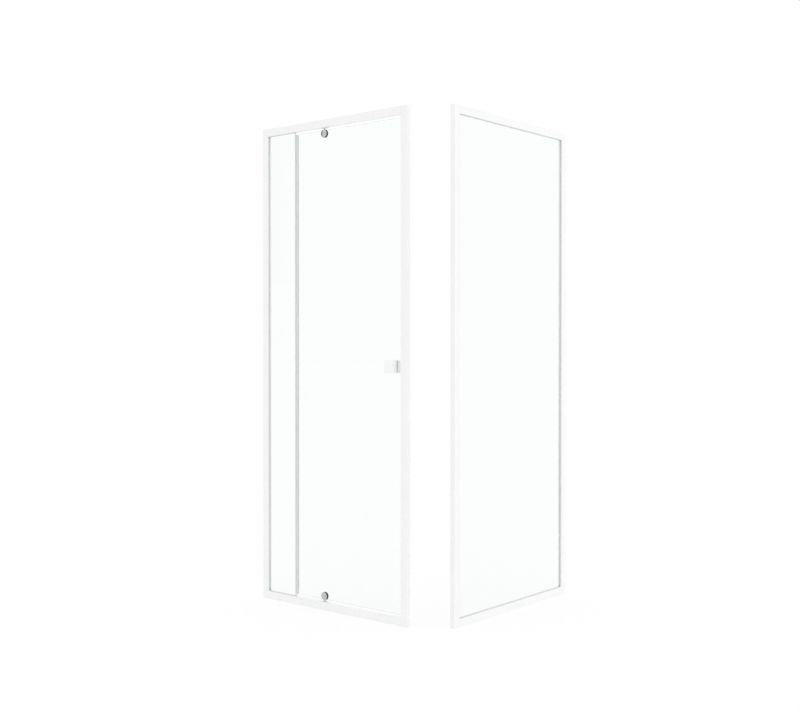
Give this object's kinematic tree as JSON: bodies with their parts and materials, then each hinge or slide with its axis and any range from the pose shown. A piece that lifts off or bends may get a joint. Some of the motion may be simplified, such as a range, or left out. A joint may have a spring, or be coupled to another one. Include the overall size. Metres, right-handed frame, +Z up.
{
  "type": "pivot shower door",
  "caption": "White framed shower screen: a front panel with an offset pivot glass door and a fixed side light, and a matching fixed return panel that stands apart.",
  "frame": {"origin": "centre of the front sill's underside", "axes": "+X along the front panel from the wall to the corner, +Y into the shower, +Z up"},
  "size_m": [0.95, 0.921, 2],
  "materials": {
    "white_coat": "white powder coat, satin",
    "white_plastic": "moulded, satin",
    "clear_glass": "clear toughened, ground edges",
    "grey_gasket": "soft vinyl, matt",
    "grey_seal": "soft vinyl, satin",
    "chrome": "polished",
    "dark_nylon": "moulded glass-filled nylon, matt",
    "steel": "stainless, fine turned",
    "acetal": "machined, matt",
    "white_handle": "white powder coat, satin",
    "soft_pad": "soft, matt"
  },
  "bodies": {
    "frame": {"closing_seal": "white_plastic", "corner_cover": "white_coat", "corner_jamb": "white_coat", "fixed_bead": "white_plastic", "fixed_gasket": "grey_gasket", "fixed_glass": "clear_glass", "frame_screws": "steel", "head_infill": "white_plastic", "head_pivot_bush": "acetal", "head_pivot_plate": "white_coat", "head_rail": "white_coat", "lock_screws": "steel", "pivot_plate_screws": "steel", "return_bead": "white_plastic", "return_corner_channel": "white_coat", "return_corner_jamb": "white_coat", "return_frame_screws": "steel", "return_gasket": "grey_gasket", "return_glass": "clear_glass", "return_head_rail": "white_coat", "return_lock_screws": "steel", "return_sill_rail": "white_coat", "return_wall_channel": "white_coat", "return_wall_jamb": "white_coat", "sill_infill": "white_plastic", "sill_pivot_bush": "acetal", "sill_pivot_plate": "white_coat", "sill_rail": "white_coat", "wall_channel": "white_coat", "wall_jamb": "white_coat"},
    "leaf": {"bottom_pivot_block": "steel", "bottom_pivot_cap_inner": "chrome", "bottom_pivot_cap_outer": "chrome", "bottom_pivot_clamp_inner": "dark_nylon", "bottom_pivot_clamp_outer": "dark_nylon", "door_glass": "clear_glass", "handle_grub_screw": "steel", "handle_inner": "white_handle", "handle_outer": "white_handle", "handle_pads": "soft_pad", "handle_stud": "steel", "leaf_edge_seal": "grey_seal", "pivot_clamp_screws": "steel", "pivot_gaskets": "soft_pad", "top_pivot_block": "steel", "top_pivot_cap_inner": "chrome", "top_pivot_cap_outer": "chrome", "top_pivot_clamp_inner": "dark_nylon", "top_pivot_clamp_outer": "dark_nylon"}
  },
  "joints": [
    {"name": "leaf_pivot", "type": "hinge", "parent": "frame", "child": "leaf", "pos_m": [-0.0435, 0, 0], "axis": [0, 0, -1], "range_deg": [0, 100]}
  ]
}
